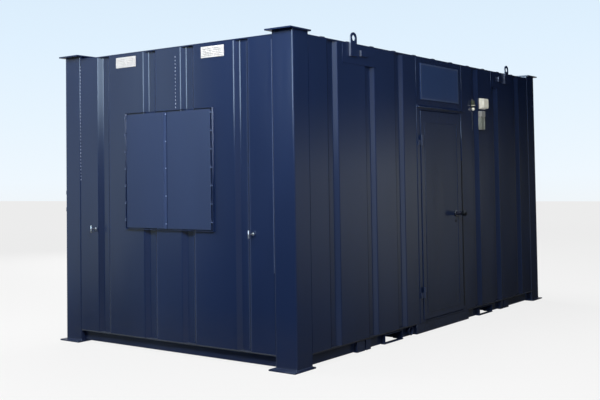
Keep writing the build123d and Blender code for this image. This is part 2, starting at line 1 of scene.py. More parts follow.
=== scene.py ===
# %% [markdown]
# # A portable site cabin, dressed
# The cabin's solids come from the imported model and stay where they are. This script gives every
# surface its finish, adds the small pieces that make it look like a real steel cabin, and sets up
# a plain pale studio round it. Each step says what the piece is and why it's made this way.

# %% Load the frame and measure it
import math

import bmesh
import bpy
from mathutils import Matrix, Vector


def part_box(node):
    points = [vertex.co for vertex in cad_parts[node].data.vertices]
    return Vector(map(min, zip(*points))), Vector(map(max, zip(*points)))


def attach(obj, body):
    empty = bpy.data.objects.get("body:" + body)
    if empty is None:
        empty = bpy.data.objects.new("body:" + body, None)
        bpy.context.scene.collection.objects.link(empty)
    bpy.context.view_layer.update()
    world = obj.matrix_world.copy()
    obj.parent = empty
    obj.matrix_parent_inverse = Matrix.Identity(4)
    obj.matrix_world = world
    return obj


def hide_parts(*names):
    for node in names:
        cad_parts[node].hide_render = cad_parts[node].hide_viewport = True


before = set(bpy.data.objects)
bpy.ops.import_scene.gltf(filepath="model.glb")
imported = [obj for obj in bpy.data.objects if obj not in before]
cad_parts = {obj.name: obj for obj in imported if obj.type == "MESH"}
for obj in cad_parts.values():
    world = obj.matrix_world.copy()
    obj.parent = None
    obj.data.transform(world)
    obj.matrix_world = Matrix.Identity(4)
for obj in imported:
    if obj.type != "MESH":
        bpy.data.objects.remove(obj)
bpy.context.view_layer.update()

# %% [markdown]
# ## Camera
# The view is from about a person's eye height, looking at the corner with the shuttered end on the
# left. The camera is placed by its position and its forward direction. A small roll and a downward
# shift keep the upright lines upright while the horizon sits below the middle.

# %% Camera
camera_place = Vector((-8.0602, -5.4884, 1.5054))
camera_yaw = 0.64117
camera_pitch = 0.03624
camera_roll = -0.01413
camera_lens = 54.385
camera_shift = (0.01892, -0.09443)
camera_reach = 400

level_share = math.cos(camera_pitch)
forward = Vector(
    (level_share * math.cos(camera_yaw), level_share * math.sin(camera_yaw), math.sin(camera_pitch))
)
camera_data = bpy.data.cameras.new("camera")
camera_data.lens = camera_lens
camera_data.shift_x, camera_data.shift_y = camera_shift
camera_data.clip_end = camera_reach
camera = bpy.data.objects.new("camera", camera_data)
aim = forward.to_track_quat("-Z", "Y").to_matrix().to_4x4()
camera.matrix_world = Matrix.Translation(camera_place) @ aim @ Matrix.Rotation(camera_roll, 4, "Z")
bpy.context.scene.collection.objects.link(camera)
bpy.context.scene.camera = camera
bpy.context.scene.view_settings.view_transform = "Standard"
print("camera", [round(v, 3) for v in camera.location])

# %% [markdown]
# ## Writing a finish
# A finish is a small network of nodes that reads Object coordinates, so a pattern stays put on its
# piece from every side. These helpers keep each network short: one adds a node and fills or joins
# its sockets, others add a noise, a ramp or a mix, and the last makes a material with its shader.


# %% Helpers for finishes
def linear(red, green, blue):
    """Turns a screen colour of 0 to 255 into the linear colour that shaders use."""
    out = []
    for value in (red, green, blue):
        part = value / 255
        out.append(part / 12.92 if part <= 0.04045 else ((part + 0.055) / 1.055) ** 2.4)
    return (*out, 1.0)


def toned(colour, share):
    """The same colour, darker or lighter by a share."""
    return (*(value * share for value in colour[:3]), 1)


class Network:
    """A tree of nodes, the coordinates that its patterns read, and short ways to add to it."""

    def __init__(self, tree, coordinates):
        self.tree = tree
        self.place = self.add("ShaderNodeTexCoord").outputs[coordinates]

    def add(self, kind, sockets=None, **settings):
        """Adds a node. Each of its sockets gets a plain value, or is joined to another node's."""
        node = self.tree.nodes.new(kind)
        for name, value in settings.items():
            setattr(node, name, value)
        for name, value in (sockets or {}).items():
            if isinstance(value, bpy.types.NodeSocket):
                self.join(value, node.inputs[name])
            else:
                node.inputs[name].default_value = value
        return node

    def join(self, source, target):
        self.tree.links.new(source, target)

    def noise(self, scale, stretch=(1, 1, 1), detail=3.0, rough=0.55):
        mapping = self.add("ShaderNodeMapping", {"Vector": self.place, "Scale": stretch})
        sockets = {"Scale": scale, "Detail": detail, "Roughness": rough}
        sockets["Vector"] = mapping.outputs["Vector"]
        return self.add("ShaderNodeTexNoise", sockets).outputs["Fac"]

    def axis(self, letter):
        return self.add("ShaderNodeSeparateXYZ", {"Vector": self.place}).outputs[letter]

    def ramp(self, source, *stops):
        node = self.add("ShaderNodeValToRGB", {"Fac": source})
        while len(node.color_ramp.elements) < len(stops):
            node.color_ramp.elements.new(0.5)
        for element, (where, value) in zip(node.color_ramp.elements, stops):
            element.position = where
            element.color = value if isinstance(value, tuple) else (value, value, value, 1)
        return node.outputs["Color"]

    def stretch(self, source, low, high, to_low=0.0, to_high=1.0):
        sockets = {"Value": source, "From Min": low, "From Max": high, "To Min": to_low, "To Max": to_high}
        return self.add("ShaderNodeMapRange", sockets).outputs["Result"]

    def sum(self, kind, first, second):
        return self.add("ShaderNodeMath", {0: first, 1: second}, operation=kind).outputs[0]

    def times(self, first, second):
        return self.sum("MULTIPLY", first, second)

    def mix(self, factor, first, second, kind="MIX"):
        """Mixes two colours, whose sockets are 6 and 7 of the node."""
        sockets = {0: factor, 6: first, 7: second}
        return self.add("ShaderNodeMix", sockets, data_type="RGBA", blend_type=kind).outputs[2]

    def blend(self, factor, first, second):
        """Mixes two shaders."""
        return self.add("ShaderNodeMixShader", {0: factor, 1: first.outputs[0], 2: second.outputs[0]})

    def show(self, shader, output="Material Output"):
        self.join(shader.outputs[0], self.tree.nodes[output].inputs["Surface"])


class Finish(Network):
    """A material and its Principled shader."""

    def __init__(self, name, colour, roughness, metallic=0.0):
        self.material = bpy.data.materials.new(name)
        self.material.use_nodes = True
        super().__init__(self.material.node_tree, "Object")
        self.shader = self.tree.nodes["Principled BSDF"]
        self.give({"Base Color": colour, "Roughness": roughness, "Metallic": metallic})

    def give(self, values):
        """Gives plain values to the shader's sockets."""
        for socket, value in values.items():
            self.shader.inputs[socket].default_value = value

    def feed(self, socket, source):
        """Joins a source to one of the shader's sockets."""
        self.join(source, self.shader.inputs[socket])

    def fed(self, socket):
        """What is joined to that socket so far."""
        return self.shader.inputs[socket].links[0].from_socket

    def overpaint(self, mask, colour):
        """Lays another colour over the finish where the mask is one."""
        self.feed("Base Color", self.mix(mask, self.fed("Base Color"), colour))

    def bump(self, source, strength, distance):
        sockets = {"Height": source, "Strength": strength, "Distance": distance}
        self.feed("Normal", self.add("ShaderNodeBump", sockets).outputs["Normal"])


# %% [markdown]
# ## Floor and backdrop
# The floor is one big pale sheet. Its far edge lies a little askew, so that it shows level under
# the rolled camera, and the pale sky colour starts there. Nearly all of its brightness is its own,
# so it stays evenly pale without lighting the cabin harder, and the rest is lit, so the cabin
# keeps a soft shadow.


# %% Floor
def seen_directly(network):
    """One for rays from the camera, a mirror or through glass, nought for light that spreads."""
    ray = network.add("ShaderNodeLightPath").outputs
    camera_or_mirror = network.sum("MAXIMUM", ray["Is Camera Ray"], ray["Is Glossy Ray"])
    return network.sum("MAXIMUM", camera_or_mirror, ray["Is Transmission Ray"])


def make_object(name, shape):
    """Turns a shape into an object, with its place in its mesh."""
    mesh = bpy.data.meshes.new(name)
    shape.to_mesh(mesh)
    shape.free()
    made = bpy.data.objects.new(name, mesh)
    bpy.context.scene.collection.objects.link(made)
    return made


floor_corners = [(-24.0, 30.0), (-2.0, -46.0), (38.8, 8.0), (31.5, 54.0)]
floor_near, floor_far = 5, 45
lit_share = 0.07
shape = bmesh.new()
shape.faces.new([shape.verts.new((x, y, 0.0)) for x, y in floor_corners])
floor = make_object("floor", shape)

ground = Finish("floor_sheet", linear(110, 110, 110), 0.9)
under_camera = (camera_place.x, camera_place.y, 0)
away = ground.add("ShaderNodeVectorMath", {0: ground.place, 1: under_camera}, operation="DISTANCE")
greys = ((0.0, 246), (0.15, 242), (0.28, 241), (0.62, 243))
distance_share = ground.stretch(away.outputs["Value"], floor_near, floor_far)
pale = ground.ramp(distance_share, *((where, linear(grey, grey, grey)) for where, grey in greys))
glow = ground.add("ShaderNodeEmission", {"Color": pale})
lit = ground.add("ShaderNodeBsdfDiffuse", {"Color": (0.9, 0.9, 0.9, 1)})
seen_floor = ground.blend(lit_share, glow, lit)
ground.show(ground.blend(seen_directly(ground), ground.shader, seen_floor))
floor.data.materials.append(ground.material)
floor.visible_glossy = False
print("floor reaches", floor_corners)

# %% [markdown]
# ## Sky and lamps
# The world is two things at once: the pale sky that is seen, and a weak even light that fills the
# shadows. The near upright corner comes first to the eye, so two key lamps stand before it, a
# metre above the eaves: light falls away along the door side, and down every wall. A third lamp
# lifts the far half of the shuttered end, a faint fourth the door, and two more behind and over
# the roof keep the back from going flat.

# %% Sky
sky_from, sky_to = -0.03, 0.2
world = bpy.data.worlds.new("studio")
bpy.context.scene.world = world
world.use_nodes = True
sky = Network(world.node_tree, "Generated")
sky_colour = sky.ramp(
    sky.stretch(sky.axis("Z"), sky_from, sky_to),
    (0.0, linear(240, 246, 250)),
    (0.12, linear(239, 248, 255)),
    (0.4, linear(232, 245, 255)),
    (0.75, linear(224, 241, 255)),
    (1.0, linear(219, 237, 252)),
)
seen_sky = sky.tree.nodes["Background"]
sky.join(sky_colour, seen_sky.inputs["Color"])
ambient = sky.add("ShaderNodeBackground", {"Color": (0.93, 0.97, 1.0, 1), "Strength": 0.095})
sky.show(sky.blend(seen_directly(sky), ambient, seen_sky), "World Output")
print("sky fades from", sky_from, "to", sky_to)


# %% Lamps
def soft_lamp(name, place, target, size, power):
    """A rectangular lamp that lights surfaces, but is neither seen nor mirrored."""
    data = bpy.data.lights.new(name, "AREA")
    data.shape = "RECTANGLE"
    data.size, data.size_y = size
    data.energy = power
    lamp = bpy.data.objects.new(name, data)
    lamp.location = place
    lamp.rotation_euler = (Vector(target) - Vector(place)).to_track_quat("-Z", "Y").to_euler()
    lamp.visible_camera = False
    lamp.visible_glossy = False
    bpy.context.scene.collection.objects.link(lamp)


near_corner = (-2.2, -1.0, 1.9)
soft_lamp("lamp_key", (-5.4, -2.1, 3.8), near_corner, (2.4, 1.2), 142)
soft_lamp("lamp_key_door_side", (-4.6, -3.5, 3.6), near_corner, (2.4, 1.2), 68)
soft_lamp("lamp_far_end", (-4.2, 3.8, 3.8), (-2.44, 0.4, 1.9), (3.0, 2.0), 182)
soft_lamp("lamp_door", (-0.9, -4.0, 2.6), (-0.9, -1.3, 1.9), (2.4, 1.2), 19)
soft_lamp("lamp_back", (5.0, 7.5, 4.5), (0.6, 1.0, 1.4), (4.0, 2.5), 700)
soft_lamp("lamp_over_roof", (1.5, 1.0, 8.5), (0.0, 0.0, 2.6), (4.0, 3.0), 567)

# %% [markdown]
# ## What the paint reflects
# A dark gloss paint shows mostly what it reflects, and a real yard isn't pale all round. So a
# tent stands far outside, which only mirror rays see, and it reaches below the floor so that it
# takes the place of the yard's ground too. It is so wide that only a ray's direction counts. Each
# card has a reach round the horizon and a reach up it: a hedge line by the door side, open sky
# off the shuttered end, and a bright window of sky between them that draws the thin lights along
# the bends and the corner.

# %% Reflection tent
tent_radius = 300.0
tent_head = 160.0
tent_foot = -1500.0
eye_level = 1.5
shape = bmesh.new()
bmesh.ops.create_cone(
    shape, cap_ends=False, segments=96,
    radius1=tent_radius, radius2=tent_radius, depth=tent_head - tent_foot,
)
bmesh.ops.translate(shape, verts=shape.verts, vec=(0, 0, (tent_head + tent_foot) / 2))
tent = make_object("reflection_tent", shape)
for kind in ("camera", "diffuse", "transmission", "shadow", "volume_scatter"):
    setattr(tent, f"visible_{kind}", False)

cards = Finish("tent_cards", (0, 0, 0, 1), 1.0)
east, north, up = (cards.axis(letter) for letter in "XYZ")


def turn_from(ahead, aside):
    """The angle in degrees from one direction towards the other."""
    return cards.times(cards.sum("ARCTAN2", aside, ahead), 180 / math.pi)


from_east = turn_from(east, north)
from_west = turn_from(cards.times(east, -1), cards.times(north, -1))
squares = cards.sum("ADD", cards.times(east, east), cards.times(north, north))
rise = turn_from(cards.sum("SQRT", squares, 0), cards.sum("SUBTRACT", up, eye_level))


def card(name, colour, around, upward, bearing=from_east):
    """One card: its colour, and how bright it is round the horizon and up it, both in degrees."""

    def profile(source, points):
        low, high = points[0][0], points[-1][0]
        stops = [((where - low) / (high - low), value) for where, value in points]
        return cards.ramp(cards.stretch(source, low, high), *stops)

    print("card", name, "from", around[0][0], "to", around[-1][0])
    product = cards.mix(1.0, profile(bearing, around), profile(rise, upward), "MULTIPLY")
    return cards.add("ShaderNodeVectorMath", {0: product, 1: colour}, operation="MULTIPLY").outputs[0]


hedge_line = ((-60, 0), (-45, 0.3), (-36.5, 0.36), (-33, 0.45), (-30.7, 0.52), (-27.2, 0.37))
hedge_end = ((-25.4, 0.14), (-21, 0.02), (5, 0))
hedge_foot = ((-30, 0.1), (-10, 0.2), (-6, 0.58), (-3, 0.88), (-1, 1.0))
hedge_top = ((0.5, 1.0), (3, 0.4), (5, 0.06), (30, 0.05))
tent_cards = [
    card("hedge by the door side", (1.0, 1.05, 0.95), hedge_line + hedge_end, hedge_foot + hedge_top),
    card(
        "pale haze past the far corner", (0.85, 1.0, 1.1),
        ((55, 0), (70, 0.7), (126, 0.6), (129, 0)),
        ((-60, 0.05), (-25, 0.3), (-9, 0.8), (0, 1.0), (30, 1.0)),
    ),
    card(
        "sky off the shuttered end, far half", (0.88, 1.02, 1.0),
        ((126, 0), (129, 0.68), (131, 0.75), (132.5, 0.88), (134.4, 0)),
        ((-30, 0.05), (-9, 0.12), (-6.5, 0.62), (-5, 0.85), (-3, 0.97), (0, 1.0), (7, 0.85), (30, 0.85)),
    ),
    card(
        "sky off the shuttered end, near half", (0.85, 1.02, 0.95),
        ((132.5, 0), (134.4, 0.97), (136.7, 0.8), (138.8, 0.15), (141, 0.1), (146, 0.1), (148, 0)),
        ((-30, 0.2), (-9, 0.2), (-5.5, 0.25), (-3, 0.6), (0, 1.0), (7, 1.15), (30, 1.15)),
    ),
    card(
        "bright window of sky", (6.2, 8.0, 9.6),
        ((-34.5, 0), (-33, 1.0), (15, 1.0), (20.4, 0.6), (22.6, 0.09), (25.8, 0.1), (28, 0.02), (30, 0)),
        ((-10, 0), (2, 0.01), (2.9, 0.08), (4, 0.5), (5, 1.0), (14, 1.0), (30, 0.3)),
        from_west,
    ),
    card(
        "dim yard in front, in the groove sides", (0.24, 0.25, 0.2),
        ((12, 0), (18, 1.0), (33, 1.0), (45, 0)),
        ((-30, 0.6), (-8, 0.8), (0, 1.0), (30, 1.0)),
        from_west,
    ),
    card(
        "sky by the near corner", (1.3, 1.6, 2.1),
        ((-135, 0), (-120, 1.0), (-102.8, 1.0), (-101, 0.15), (-98.8, 0), (-60, 0)),
        ((-30, 0.1), (-6, 0.14), (0, 0.2), (2, 0.5), (3.1, 0.72), (5, 0.95), (8, 1.25), (30, 1.25)),
    ),
    card(
        "haze by the door side", (0.85, 0.95, 1.0),
        ((-102.4, 0), (-100.7, 1.15), (-98, 1.0), (-95.5, 0.15), (-85, 0.1), (-60, 0)),
        ((-30, 0.1), (-10, 0.25), (-6, 0.8), (0, 1.0), (3, 0.9), (5, 0.4), (7, 0.05), (30, 0.05)),
    ),
    card(
        "pale yard behind", (1.0, 1.0, 1.0),
        ((0, 0), (15, 0.4), (45, 0.8), (60, 0)),
        ((-60, 0.05), (-25, 0.2), (-2, 0.6), (0, 0.9), (30, 1.0)),
    ),
]
total = tent_cards[0]
for extra in tent_cards[1:]:
    total = cards.add("ShaderNodeVectorMath", {0: total, 1: extra}, operation="ADD").outputs[0]
cards.show(cards.add("ShaderNodeEmission", {"Color": total}))
tent.data.materials.append(cards.material)
print("tent radius", tent_radius)

# %% [markdown]
# ## Navy paint
# The whole cabin is sprayed in one deep navy gloss. Close to, such paint is never even: its colour
# drifts a little from sheet to sheet, the film has a faint orange peel, and thin sheet is never
# quite flat, so reflections waver. Near the ground it carries a little road dust. The shutters are
# duller than the walls, and the bowed strip down their middle is duller still.


# %% Navy paint
def navy_finish(name, body_colour, roughness, wave, dust=0.2):
    """Navy gloss. Its wave is how far the sheet is out of flat, its dust how thick dirt lies low down."""
    paint = Finish(name, body_colour, roughness)
    drift = paint.noise(1.1, (1, 1, 0.4), detail=2)
    film = paint.ramp(drift, (0.35, toned(body_colour, 0.9)), (0.65, toned(body_colour, 1.1)))
    low_down = paint.stretch(paint.axis("Z"), 0.45, 0.02)
    patches = paint.stretch(paint.noise(6, (1, 1, 2.5), detail=4, rough=0.6), 0.3, 0.8, 0.4, 1.0)
    amount = paint.times(paint.times(low_down, patches), dust)
    paint.feed("Base Color", paint.mix(amount, film, linear(70, 66, 60)))
    streaks = paint.noise(9, (1, 1, 0.08), detail=2)
    gloss = paint.stretch(streaks, 0.3, 0.7, roughness - 0.02, roughness + 0.03)
    paint.feed("Roughness", paint.sum("ADD", gloss, paint.times(amount, 0.4)))
    slow = paint.noise(1.9, (1, 1, 0.45), detail=1)
    peel = paint.noise(260, detail=0)
    relief = paint.sum("ADD", paint.times(slow, wave), paint.times(peel, 0.00003))
    paint.bump(relief, 1.0, 1.0)
    return paint


navy = linear(29, 44, 79)
sheet_paint = navy_finish("navy_sheet", navy, 0.1, 0.003)
frame_paint = navy_finish("navy_frame", navy, 0.1, 0.001)
door_paint = navy_finish("navy_door", linear(34, 47, 79), 0.2, 0.002, dust=0.3)
shutter_paint = navy_finish("navy_shutters", navy, 0.32, 0.002, dust=0.3)
strip_left, strip_right = 0.049, 0.0
strip_dullness = 0.25
across = shutter_paint.axis("Y")
on_strip = shutter_paint.times(
    shutter_paint.stretch(across, strip_right - 0.002, strip_right + 0.002),
    shutter_paint.stretch(across, strip_left + 0.002, strip_left - 0.002),
)
strip_gloss = shutter_paint.times(on_strip, strip_dullness)
shutter_paint.feed("Roughness", shutter_paint.sum("ADD", shutter_paint.fed("Roughness"), strip_gloss))
print("paint", [round(v, 4) for v in navy[:3]])

# %% [markdown]
# ## Wall faces inside and out
# A wall is painted steel outside and a vinyl-faced board inside. One solid carries both, so the
# finish changes with depth: whatever lies inside the room's box is board.

# %% Wall finish
room_x, room_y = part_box("ceiling")[1].xy
skin_edge = 0.004
wall_paint = navy_finish("wall_skin_and_lining", navy, 0.1, 0.003)
within = []
for letter, reach in (("X", room_x), ("Y", room_y)):
    distance = wall_paint.sum("ABSOLUTE", wall_paint.axis(letter), 0)
    within.append(wall_paint.sum("LESS_THAN", distance, reach + skin_edge))
inside = wall_paint.times(*within)
dark_spots, pale_spots = (0.4, linear(222, 222, 214)), (0.6, linear(230, 230, 223))
wall_paint.overpaint(inside, wall_paint.ramp(wall_paint.noise(60, detail=4), dark_spots, pale_spots))
rough = wall_paint.add("ShaderNodeMix", {0: inside, 2: wall_paint.fed("Roughness"), 3: 0.6})
wall_paint.feed("Roughness", rough.outputs[0])
print("lining inside", round(room_x, 3), round(room_y, 3))

# %% [markdown]
# ## Bare metal, plastics, glass and wood
# Each of the other finishes has one trait that sells it: zinc has its spangle, moulded plastic a
# fine grain, and the floor board its long grain and scuffs. The lamp's cream cover and the sensor's
# lens also give off a faint glow of their own: painted light that keeps them pale.


# %% Other finishes
def plastic_finish(name, colour, roughness, grain=380, dirt=0.12):
    plastic = Finish(name, colour, roughness)
    blotches = plastic.noise(22, (1, 1, 0.5), detail=5, rough=0.7)
    plastic.feed("Base Color", plastic.ramp(blotches, (0.38, toned(colour, 1 - dirt)), (0.62, colour)))
    plastic.bump(plastic.noise(grain, detail=2), 0.25, 0.0006)
    return plastic


silver = linear(205, 208, 212)
silver_rough = 0.28
spangle = 220
zinc = Finish("bright_fixing", silver, silver_rough, metallic=0.85)
cells = zinc.add("ShaderNodeTexVoronoi", {"Vector": zinc.place, "Scale": spangle})
tone = zinc.ramp(zinc.noise(spangle / 3, detail=4), (0.35, toned(silver, 0.72)), (0.65, silver))
zinc.feed("Base Color", zinc.mix(0.25, tone, cells.outputs["Color"], "SOFT_LIGHT"))
gloss = zinc.stretch(cells.outputs["Distance"], 0.0, 0.6, silver_rough - 0.08, silver_rough + 0.1)
zinc.feed("Roughness", gloss)
zinc.bump(zinc.noise(spangle * 2, detail=3), 0.2, 0.0005)

black_plastic = plastic_finish("knob_black", linear(30, 33, 44), 0.12, dirt=0.3)
black_plastic.give({"Coat Weight": 1.0, "Coat Roughness": 0.05})
cream_plastic_painted_glow = plastic_finish("lamp_cream_painted_glow", linear(238, 236, 220), 0.42)
# The faint emission is painted light: a glow that keeps the cream pale, though no lamp shines in it.
cream_plastic_painted_glow.give({"Emission Color": linear(255, 252, 236), "Emission Strength": 0.16})
grey_plastic = plastic_finish("socket_grey", linear(158, 163, 152), 0.5)
white_plastic = plastic_finish("vent_white", linear(228, 228, 228), 0.45)
upvc = plastic_finish("window_white", linear(232, 233, 230), 0.32)
# This black serves the window gaskets, and also the painted shadow strip by the door's lock edge.
black_rubber_and_painted_shadow = plastic_finish("gasket_rubber_and_painted_shadow", linear(26, 27, 30), 0.65)
lining = plastic_finish("lining_board", linear(228, 228, 221), 0.6, grain=90, dirt=0.05)

glass = Finish("window_glass_clear", (0.9, 0.96, 0.95, 1), 0.03)
glass.give({"Transmission Weight": 0.92, "IOR": 1.5})
smears = glass.noise(7, (1, 1, 0.4), detail=6, rough=0.7)
glass.feed("Roughness", glass.stretch(smears, 0.4, 0.75, 0.02, 0.14))

boards = Finish("floor_ply", linear(150, 120, 84), 0.5)
grain = boards.noise(5, (1.2, 26, 26), detail=8, rough=0.65)
ply = boards.ramp(grain, (0.3, linear(120, 92, 60)), (0.7, linear(170, 138, 98)))
scuffs = boards.times(boards.stretch(boards.noise(6, detail=8, rough=0.75), 0.56, 0.72), 0.6)
boards.feed("Base Color", boards.mix(scuffs, ply, linear(74, 66, 58)))
boards.bump(grain, 0.3, 0.001)
print("finishes:", len(bpy.data.materials))

# %% [markdown]
# ## Paler paint as painted highlights
# Hinges and screw heads are painted paler than the navy, and so are the sides of the lifting eyes,
# their keepers and the shutter frame: painted highlights for the light these catch. The lit sides
# are found by the way a face points on the piece, and on the shutter frame the painted highlight
# grows with height. The knob's spindle is painted paler than the ball in front of it, also a
# painted highlight, and a step in the finish parts the two.


# %% Paler paint as painted highlights
def paint_lit_sides(paint, axis, colour, low, high):
    """Paints a paler colour, a painted highlight, on the faces square to one axis, more and more between
    two heights.
    """
    facing = paint.add("ShaderNodeTexCoord").outputs["Normal"]
    along = paint.add("ShaderNodeSeparateXYZ", {"Vector": facing}).outputs[axis]
    square_on = paint.stretch(paint.sum("ABSOLUTE", along, 0), 0.9, 0.95)
    paint.overpaint(paint.times(square_on, paint.stretch(paint.axis("Z"), low, high)), colour)


# The shutter hinges are painted pale: a painted highlight for the light their knuckles catch.
hinge_paint = navy_finish("shutter_hinge_painted_highlight", linear(84, 98, 130), 0.2, 0.0, dust=0.0)
# The door's hinge knuckles and pins are painted a little paler than the navy: a faint painted highlight.
door_hinge_paint = navy_finish("door_hinge_paint", linear(56, 66, 92), 0.2, 0.0, dust=0.0)
# The strip heads are painted pale navy: a painted highlight for the light their domes catch.
head_paint = navy_finish("strip_head_paint", linear(132, 145, 174), 0.3, 0.0, dust=0.0)
# The lugs' sides square to X are painted paler: a painted highlight where the light falls on them.
lug_paint_lit_sides = navy_finish("lug_paint_lit_sides", navy, 0.15, 0.0)
paint_lit_sides(lug_paint_lit_sides, "X", linear(90, 100, 122), 0.0, 0.1)
# The shutter frame's sides square to Y get a painted highlight that grows from 1.45 m to 2 m up.
shutter_frame_painted_highlight = navy_finish("shutter_frame_painted_highlight", navy, 0.15, 0.0)
paint_lit_sides(shutter_frame_painted_highlight, "Y", linear(126, 138, 166), 1.45, 2.0)

ball_depth = 0.045
ball_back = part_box("knob")[0].y + ball_depth
knob_black = plastic_finish("knob_and_spindle", linear(14, 16, 23), 0.25, dirt=0.3)
# The spindle is painted paler than the ball in front of it: a painted highlight.
on_spindle = knob_black.stretch(knob_black.axis("Y"), ball_back - 0.001, ball_back + 0.001)
knob_black.overpaint(on_spindle, linear(40, 42, 56))
print("finishes:", len(bpy.data.materials))

# %% [markdown]
# ## Dressing the solids
# Every solid gets the frame's navy first, and those of another finish follow by name. Many solids
# are replaced further on by finished pieces, which bring their own.


# %% Put the finishes on the solids
def dress(finish, *nodes):
    for node in nodes:
        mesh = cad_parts[node].data
        mesh.materials.clear()
        mesh.materials.append(finish.material)


dress(frame_paint, *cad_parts)
dress(wall_paint, "front_wall_head")
dress(shutter_paint, "shutter_leaf_left", "shutter_leaf_right")
dress(hinge_paint, "shutter_hinges")
dress(door_hinge_paint, "hinge_knuckles", "hinge_pins")
dress(knob_black, "knob")
dress(black_plastic, "lock_rose")
dress(upvc, "window_frame")
dress(glass, "window_glass")
dress(boards, "floor_deck")
dress(lining, "ceiling")
print("dressed", len(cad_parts), "solids")

# %% [markdown]
# ## Making pieces
# Every piece starts as one of Blender's own shapes or as a copy of a solid, is shaped by bmesh
# operators, and is kept with its place in its mesh. These helpers do the parts that repeat: a box
# between two corners, a turned part, a flat ring, and the keeping of the finished piece.

# %% Helpers for pieces
door_side, rear_side = (0, -1, 0), (0, 1, 0)
shuttered_end, blind_end = (-1, 0, 0), (1, 0, 0)
fine_edge = 0.0012
flat_area = 0.0012
flat_angle = math.radians(0.5)
sharp_angle = math.radians(40)


def wall_place(origin, out):
    """A place on a wall: X to the right, Y up and Z straight out of the wall."""
    out = Vector(out)
    up = Vector((0, 0, 1))
    return Matrix.Translation(origin) @ Matrix((up.cross(out), up, out)).transposed().to_4x4()


def edges_of(verts):
    return {edge for vert in verts for edge in vert.link_edges}


def block(shape, low, high, soften=0.0, segments=2):
    """Adds a box between two corners, with its edges rounded by the given width."""
    low, high = Vector(low), Vector(high)
    place = Matrix.Translation((low + high) / 2) @ Matrix.Diagonal((*(high - low), 1))
    verts = bmesh.ops.create_cube(shape, size=1, matrix=place)["verts"]
    if soften:
        round_edges(shape, edges_of(verts), soften, segments)
    return verts


def round_edges(shape, edges, width, segments=2):
    bmesh.ops.bevel(
        shape, geom=list(edges), offset=width, segments=segments,
        profile=0.5, affect="EDGES", material=-1, clamp_overlap=True,
    )


def put_in(shape, part, place):
    """Turns a part's faces outwards, moves it to its place and adds it to a shape."""
    bmesh.ops.recalc_face_normals(part, faces=part.faces)
    bmesh.ops.transform(part, matrix=place, verts=part.verts)
    spare = bpy.data.meshes.new("spare")
    part.to_mesh(spare)
    part.free()
    shape.from_mesh(spare)
    bpy.data.meshes.remove(spare)


def turned(shape, profile, place, steps):
    """Spins a profile of (radius, height) pairs once round the place's Z axis."""
    part = bmesh.new()
    verts = [part.verts.new((radius, 0, height)) for radius, height in profile]
    edges = [part.edges.new(pair) for pair in zip(verts, verts[1:])]
    bmesh.ops.spin(
        part, geom=verts + edges, cent=(0, 0, 0), axis=(0, 0, 1),
        angle=2 * math.pi, steps=steps, use_merge=True,
    )
    bmesh.ops.remove_doubles(part, verts=part.verts, dist=1e-6)
    put_in(shape, part, place)


def ring(shape, place, width, height, band, thick):
    """Adds a flat rectangular ring that stands out of its place by its thickness."""
    part = bmesh.new()
    outline = Matrix.Diagonal((width, height, 1, 1))
    bmesh.ops.create_grid(part, x_segments=1, y_segments=1, size=0.5, matrix=outline)
    band_faces = bmesh.ops.inset_region(
        part, faces=part.faces[:], thickness=band, use_even_offset=True, use_boundary=True
    )["faces"]
    inner_faces = [face for face in part.faces if face not in band_faces]
    bmesh.ops.delete(part, geom=inner_faces, context="FACES")
    lift = bmesh.ops.extrude_face_region(part, geom=part.faces[:])
    raised = [item for item in lift["geom"] if isinstance(item, bmesh.types.BMVert)]
    bmesh.ops.translate(part, verts=raised, vec=(0, 0, thick))
    put_in(shape, part, place)


def copy_solid(node):
    """A copy of a solid with its loose triangles joined and its flat faces made whole."""
    shape = bmesh.new()
    shape.from_mesh(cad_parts[node].data)
    bmesh.ops.remove_doubles(shape, verts=shape.verts, dist=1e-5)
    bmesh.ops.recalc_face_normals(shape, faces=shape.faces)
    bmesh.ops.dissolve_limit(
        shape, verts=shape.verts, edges=shape.edges,
        angle_limit=flat_angle, use_dissolve_boundaries=False,
    )
    return shape


def keep(shape, name, finish, body="cabin", replaced=()):
    """Turns a shape into a finished piece: round parts shade smoothly and flats stay flat."""
    for face in shape.faces:
        face.smooth = True
    for edge in shape.edges:
        angle = edge.calc_face_angle(0)
        by_flat = any(face.calc_area() > flat_area for face in edge.link_faces)
        edge.smooth = angle < sharp_angle and not (by_flat and angle > flat_angle)
    piece = make_object(name, shape)
    piece.data.materials.append(finish.material)
    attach(piece, body)
    if replaced:
        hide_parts(*replaced)
    print(name, len(piece.data.polygons), "faces")


# %% Levels and faces measured from the solids
clad_x = -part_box("window_wall_over")[0].x
clad_y = -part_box("front_wall_left")[0].y
post_x, post_y = -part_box("corner_posts")[0].xy
post_side = 0.21
post_corners = [(side_x, side_y) for side_x in (-1, 1) for side_y in (-1, 1)]
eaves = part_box("front_wall_head")[1].z
plate_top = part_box("foot_plates")[1].z
cap_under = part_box("cap_plates")[0].z
frame_low, frame_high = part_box("door_frame")
leaf_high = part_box("door_leaf")[1]
overlay_low, overlay_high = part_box("door_overlay")
print("cladding faces", round(clad_x, 4), round(clad_y, 4), "eaves", round(eaves, 4))

# %% [markdown]
# ## Folded cladding
# The wall sheets are pressed with upright grooves. A press brake can't fold a knife edge: each bend
# has a radius of about fifteen millimetres, and that is where the sky draws a thin bright line
# down the wall. The solids have sharp folds, so each wall is copied and its upright folds are
# bevelled in five steps. Only folds between two faces that look outwards are touched, so openings
# stay square.

# %% Walls with rounded bends
bend_reach = 0.005
bend_steps = 5
upright_share = 0.99
outward_share = 0.3
least_fold = 0.3


